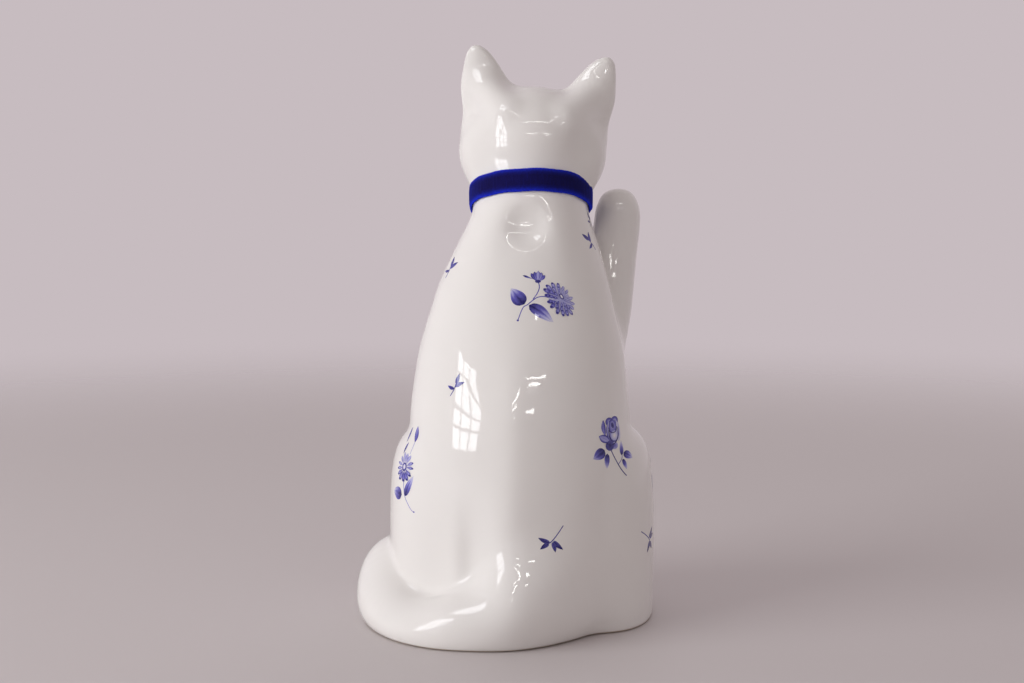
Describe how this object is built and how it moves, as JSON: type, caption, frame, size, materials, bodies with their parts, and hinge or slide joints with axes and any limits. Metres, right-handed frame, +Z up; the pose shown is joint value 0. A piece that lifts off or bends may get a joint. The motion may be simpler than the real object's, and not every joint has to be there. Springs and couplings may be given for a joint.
{
  "type": "ceramic cat figurine",
  "caption": "Seated glazed porcelain cat with one raised forepaw, cobalt flower decoration, a velvet ribbon collar with a bow, and a small hanging brass bell.",
  "frame": {"origin": "on the table plane under the body, in the middle of the foot", "axes": "+Z up, the cat looks along -Y, and its raised right forepaw is at -X"},
  "size_m": [0.1352, 0.128, 0.2593],
  "materials": {
    "porcelain": "gloss",
    "biscuit": "matt",
    "velvet": "pile",
    "brass": "polished"
  },
  "bodies": {
    "cat": {"body_casting": "porcelain", "base_plate": "biscuit", "head_casting": "porcelain", "left_ear": "porcelain", "right_ear": "porcelain", "raised_foreleg": "porcelain", "planted_foreleg": "porcelain", "tail": "porcelain"},
    "collar": {"ribbon_collar": "velvet", "bow_loops": "velvet", "bow_knot": "velvet", "bell_eye": "brass"},
    "ring": {"bell_ring": "brass"},
    "bell": {"bell_loop": "brass", "bell_upper_shell": "brass", "bell_lower_shell": "brass"},
    "pellet": {"bell_pellet": "brass"}
  },
  "joints": [
    {"name": "collar_turn", "type": "hinge", "parent": "cat", "child": "collar", "pos_m": [-0.0026, -0.012, 0.1895], "axis": [0, -0.3173, 0.9483], "range_deg": [-12, 12]},
    {"name": "ring_swing", "type": "hinge", "parent": "collar", "child": "ring", "pos_m": [-0.0026, -0.04568, 0.17334], "axis": [-1, 0, 0], "range_deg": [-4, 50]},
    {"name": "bell_swing", "type": "hinge", "parent": "ring", "child": "bell", "pos_m": [-0.0026, -0.04568, 0.16929], "axis": [0, 1, 0], "range_deg": [-30, 30]},
    {"name": "pellet_roll", "type": "hinge", "parent": "bell", "child": "pellet", "pos_m": [-0.0026, -0.04568, 0.15934], "axis": [1, 0, 0], "range_deg": [-45, 45]}
  ]
}
